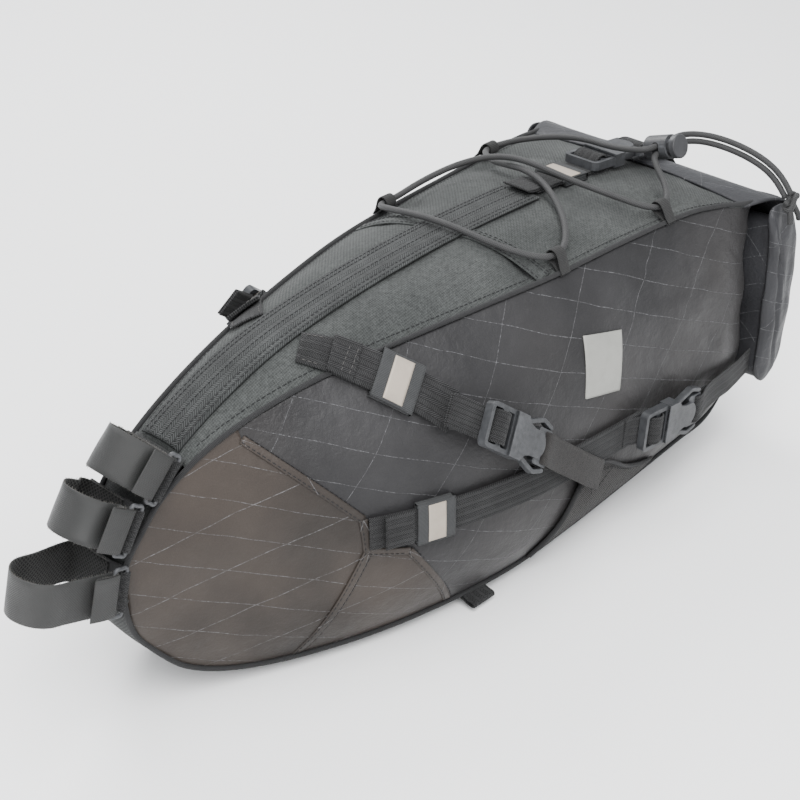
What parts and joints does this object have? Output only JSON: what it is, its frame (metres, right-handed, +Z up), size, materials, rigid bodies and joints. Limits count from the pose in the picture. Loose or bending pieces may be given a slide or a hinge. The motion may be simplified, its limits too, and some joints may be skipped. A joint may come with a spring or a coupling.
{
  "type": "saddle bag",
  "caption": "Roll-top saddle bag with seatpost straps, saddle-rail straps with side-release buckles, side closure straps and shock-cord lacing.",
  "frame": {"origin": "middle of the flat underside of the bag, midway between its two sides, in the plane the bag stands on", "axes": "+X along the bag from the nose at the seatpost end to the roll-top tail, +Z up, -Y towards the bag's left side"},
  "size_m": [0.5668, 0.235, 0.2248],
  "materials": {
    "laminate_cloth": "coated",
    "woven_cloth": "woven",
    "patch_cloth": "coated",
    "wing_cloth": "smooth",
    "webbing": "herringbone",
    "binding": "woven",
    "elastic": "woven",
    "hook_and_loop": "satin",
    "buckle_plastic": "moulded",
    "stiffener": "plain",
    "cord": "braided",
    "spring": "bright"
  },
  "bodies": {
    "bag": {"top_panel": "woven_cloth", "bottom_panel": "laminate_cloth", "nose_panel": "patch_cloth", "nose_patch_left": "patch_cloth", "nose_patch_right": "patch_cloth", "lower_patch_left": "patch_cloth", "lower_patch_right": "patch_cloth", "side_panel_left": "laminate_cloth", "side_panel_right": "laminate_cloth", "wing_left": "wing_cloth", "wing_right": "wing_cloth", "frame_sheet": "stiffener", "side_piping": "binding", "spine_webbing": "webbing", "cross_seam": "webbing", "rail_strap_left": "webbing", "rail_strap_right": "webbing", "rail_keeper_left": "elastic", "rail_keeper_right": "elastic", "rail_tab_left": "elastic", "rail_tab_right": "elastic", "rail_plug_left": "buckle_plastic", "rail_plug_right": "buckle_plastic", "closure_strap_left": "webbing", "closure_strap_right": "webbing", "closure_keeper_left": "elastic", "closure_keeper_right": "elastic", "top_strap": "webbing", "top_keeper": "elastic", "post_strap_bottom": "hook_and_loop", "post_strap_middle": "hook_and_loop", "post_strap_top": "hook_and_loop", "post_rings": "buckle_plastic", "post_anchors": "webbing", "bottom_loop": "webbing", "cord_loops": "binding", "shock_cord": "cord", "cord_knot": "cord"},
    "roll": {"roll_top": "woven_cloth", "closure_tails": "webbing", "closure_plug_left": "buckle_plastic", "closure_plug_right": "buckle_plastic", "top_plug": "buckle_plastic"},
    "rail_socket_left": {"rail_socket_left": "buckle_plastic"},
    "closure_socket_left": {"closure_socket_left": "buckle_plastic"},
    "rail_arm_a_left": {"rail_arm_a_left": "buckle_plastic"},
    "closure_arm_a_left": {"closure_arm_a_left": "buckle_plastic"},
    "rail_arm_b_left": {"rail_arm_b_left": "buckle_plastic"},
    "closure_arm_b_left": {"closure_arm_b_left": "buckle_plastic"},
    "rail_socket_right": {"rail_socket_right": "buckle_plastic"},
    "closure_socket_right": {"closure_socket_right": "buckle_plastic"},
    "rail_arm_a_right": {"rail_arm_a_right": "buckle_plastic"},
    "closure_arm_a_right": {"closure_arm_a_right": "buckle_plastic"},
    "rail_arm_b_right": {"rail_arm_b_right": "buckle_plastic"},
    "closure_arm_b_right": {"closure_arm_b_right": "buckle_plastic"},
    "top_socket": {"top_socket": "buckle_plastic"},
    "cord_lock": {"cord_lock": "buckle_plastic", "lock_spring": "spring"},
    "lock_button": {"lock_button": "buckle_plastic"}
  },
  "joints": [
    {"name": "roll_open", "type": "slide", "parent": "bag", "child": "roll", "axis": [0.9951, 0, -0.0993], "range_m": [0, 0.12]},
    {"name": "rail_buckle_left_release", "type": "slide", "parent": "bag", "child": "rail_socket_left", "axis": [-0.7747, 0.13, 0.6188], "range_m": [0, 0.02]},
    {"name": "closure_buckle_left_release", "type": "slide", "parent": "bag", "child": "closure_socket_left", "axis": [-0.9951, 0, 0.0993], "range_m": [0, 0.02]},
    {"name": "rail_arm_a_left_squeeze", "type": "hinge", "parent": "bag", "child": "rail_arm_a_left", "pos_m": [0.05023, -0.10698, 0.11689], "axis": [0.0607, -0.9589, 0.2773], "range_deg": [0, 6], "stiffness_Nm_per_rad": 0.15},
    {"name": "rail_arm_b_left_squeeze", "type": "hinge", "parent": "bag", "child": "rail_arm_b_left", "pos_m": [0.03411, -0.11344, 0.09807], "axis": [-0.0607, 0.9589, -0.2773], "range_deg": [0, 6], "stiffness_Nm_per_rad": 0.15},
    {"name": "closure_arm_a_left_squeeze", "type": "hinge", "parent": "roll", "child": "closure_arm_a_left", "pos_m": [0.19419, -0.113, 0.08405], "axis": [0, -1, 0], "range_deg": [0, 6], "stiffness_Nm_per_rad": 0.15},
    {"name": "closure_arm_b_left_squeeze", "type": "hinge", "parent": "roll", "child": "closure_arm_b_left", "pos_m": [0.19165, -0.113, 0.05858], "axis": [0, 1, 0], "range_deg": [0, 6], "stiffness_Nm_per_rad": 0.15},
    {"name": "rail_buckle_right_release", "type": "slide", "parent": "bag", "child": "rail_socket_right", "axis": [-0.7747, -0.13, 0.6188], "range_m": [0, 0.02]},
    {"name": "closure_buckle_right_release", "type": "slide", "parent": "bag", "child": "closure_socket_right", "axis": [-0.9951, 0, 0.0993], "range_m": [0, 0.02]},
    {"name": "rail_arm_a_right_squeeze", "type": "hinge", "parent": "bag", "child": "rail_arm_a_right", "pos_m": [0.05023, 0.10698, 0.11689], "axis": [-0.0607, -0.9589, -0.2773], "range_deg": [0, 6], "stiffness_Nm_per_rad": 0.15},
    {"name": "rail_arm_b_right_squeeze", "type": "hinge", "parent": "bag", "child": "rail_arm_b_right", "pos_m": [0.03411, 0.11344, 0.09807], "axis": [0.0607, 0.9589, 0.2773], "range_deg": [0, 6], "stiffness_Nm_per_rad": 0.15},
    {"name": "closure_arm_a_right_squeeze", "type": "hinge", "parent": "roll", "child": "closure_arm_a_right", "pos_m": [0.19419, 0.113, 0.08405], "axis": [0, -1, 0], "range_deg": [0, 6], "stiffness_Nm_per_rad": 0.15},
    {"name": "closure_arm_b_right_squeeze", "type": "hinge", "parent": "roll", "child": "closure_arm_b_right", "pos_m": [0.19165, 0.113, 0.05858], "axis": [0, 1, 0], "range_deg": [0, 6], "stiffness_Nm_per_rad": 0.15},
    {"name": "top_buckle_release", "type": "slide", "parent": "bag", "child": "top_socket", "axis": [-0.9951, 0, 0.0993], "range_m": [0, 0.004]},
    {"name": "cord_lock_slide", "type": "slide", "parent": "bag", "child": "cord_lock", "axis": [1, 0, 0], "range_m": [0, 0.006]},
    {"name": "lock_button_press", "type": "slide", "parent": "cord_lock", "child": "lock_button", "axis": [0, 0.9472, -0.3206], "range_m": [0, 0.003], "stiffness_N_per_m": 600}
  ],
  "couplings": [
    {"joint": "rail_arm_b_left_squeeze", "follows": "rail_arm_a_left_squeeze", "ratio": 1},
    {"joint": "closure_arm_b_left_squeeze", "follows": "closure_arm_a_left_squeeze", "ratio": 1},
    {"joint": "rail_arm_b_right_squeeze", "follows": "rail_arm_a_right_squeeze", "ratio": 1},
    {"joint": "closure_arm_b_right_squeeze", "follows": "closure_arm_a_right_squeeze", "ratio": 1}
  ]
}
